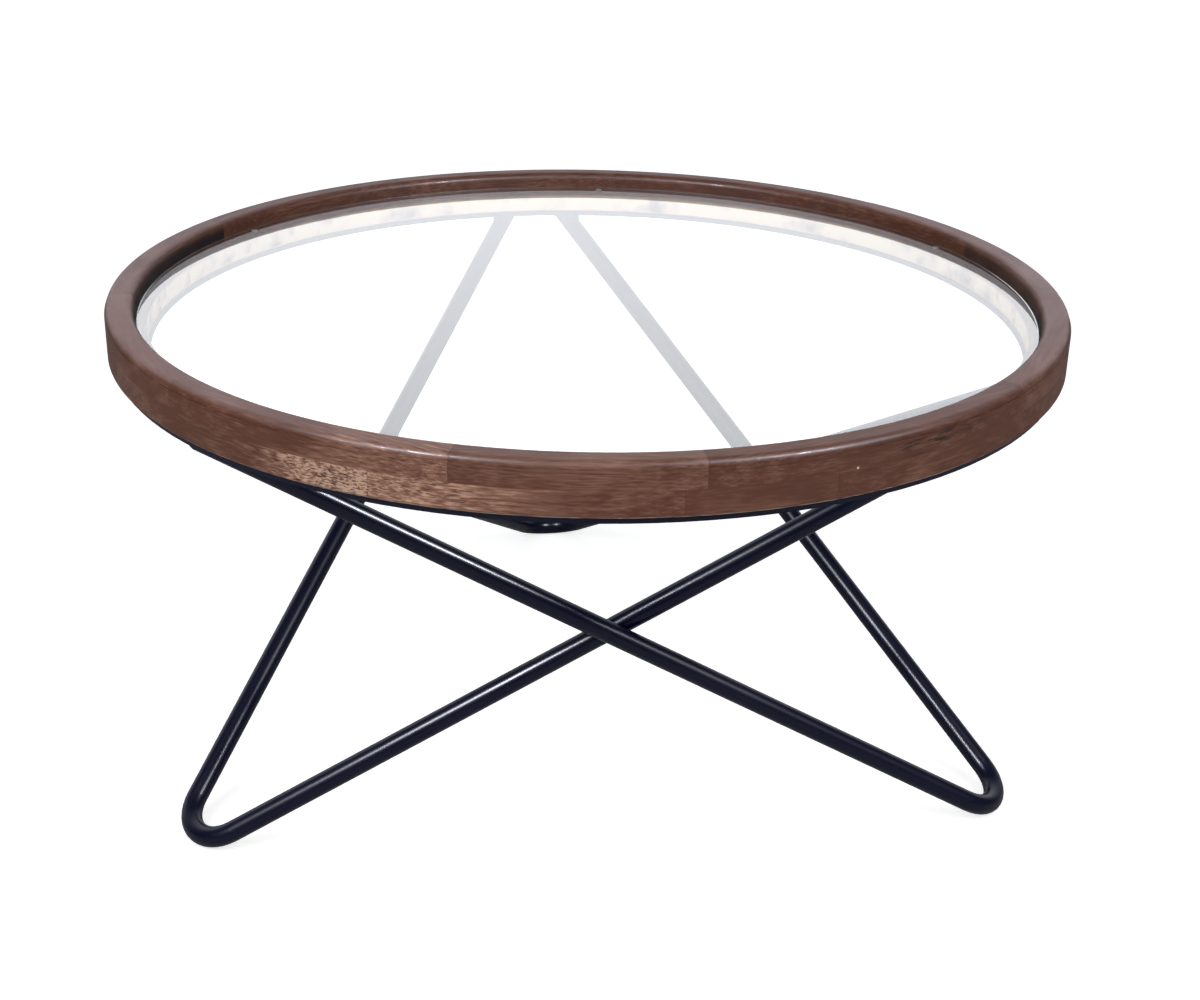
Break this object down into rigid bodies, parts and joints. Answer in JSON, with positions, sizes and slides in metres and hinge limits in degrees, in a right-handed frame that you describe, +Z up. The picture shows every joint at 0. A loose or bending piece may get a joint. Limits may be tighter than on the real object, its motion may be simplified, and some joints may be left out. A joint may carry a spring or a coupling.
{
  "type": "round coffee table",
  "caption": "Round coffee table with a wood rim, an inset clear glass disc and a base of three bent steel tube legs that cross in pairs.",
  "frame": {"origin": "on the floor under the centre of the rim", "axes": "+Z up, +Y from the centre towards the first pair of leg ends, +X to the right when seen from -Y"},
  "size_m": [0.8, 0.8, 0.415],
  "materials": {
    "stained_wood": "walnut brown stain under satin lacquer",
    "clear_glass": "clear, polished edge",
    "black_steel": "black satin powder coat",
    "zinc_screw": "zinc plated",
    "clear_bumper": "clear soft plastic"
  },
  "bodies": {
    "table": {"rim_upper_board_1": "stained_wood", "rim_upper_board_2": "stained_wood", "rim_upper_board_3": "stained_wood", "rim_upper_board_4": "stained_wood", "rim_upper_board_5": "stained_wood", "rim_upper_board_6": "stained_wood", "rim_upper_board_7": "stained_wood", "rim_upper_board_8": "stained_wood", "rim_upper_board_9": "stained_wood", "rim_upper_board_10": "stained_wood", "rim_upper_board_11": "stained_wood", "rim_lower_board_1": "stained_wood", "rim_lower_board_2": "stained_wood", "rim_lower_board_3": "stained_wood", "rim_lower_board_4": "stained_wood", "rim_lower_board_5": "stained_wood", "rim_lower_board_6": "stained_wood", "rim_lower_board_7": "stained_wood", "rim_lower_board_8": "stained_wood", "rim_lower_board_9": "stained_wood", "rim_lower_board_10": "stained_wood", "rim_lower_board_11": "stained_wood", "glass_bumpers": "clear_bumper", "support_ring": "black_steel", "rim_screws": "zinc_screw", "leg_1": "black_steel", "leg_2": "black_steel", "leg_3": "black_steel", "ring_welds_1": "black_steel", "ring_welds_2": "black_steel", "ring_welds_3": "black_steel", "crossing_weld_1": "black_steel", "crossing_weld_2": "black_steel", "crossing_weld_3": "black_steel"},
    "glass": {"glass_top": "clear_glass"}
  },
  "joints": [
    {"name": "glass_lift", "type": "slide", "parent": "table", "child": "glass", "axis": [0, 0, 1], "range_m": [0, 0.06]}
  ]
}
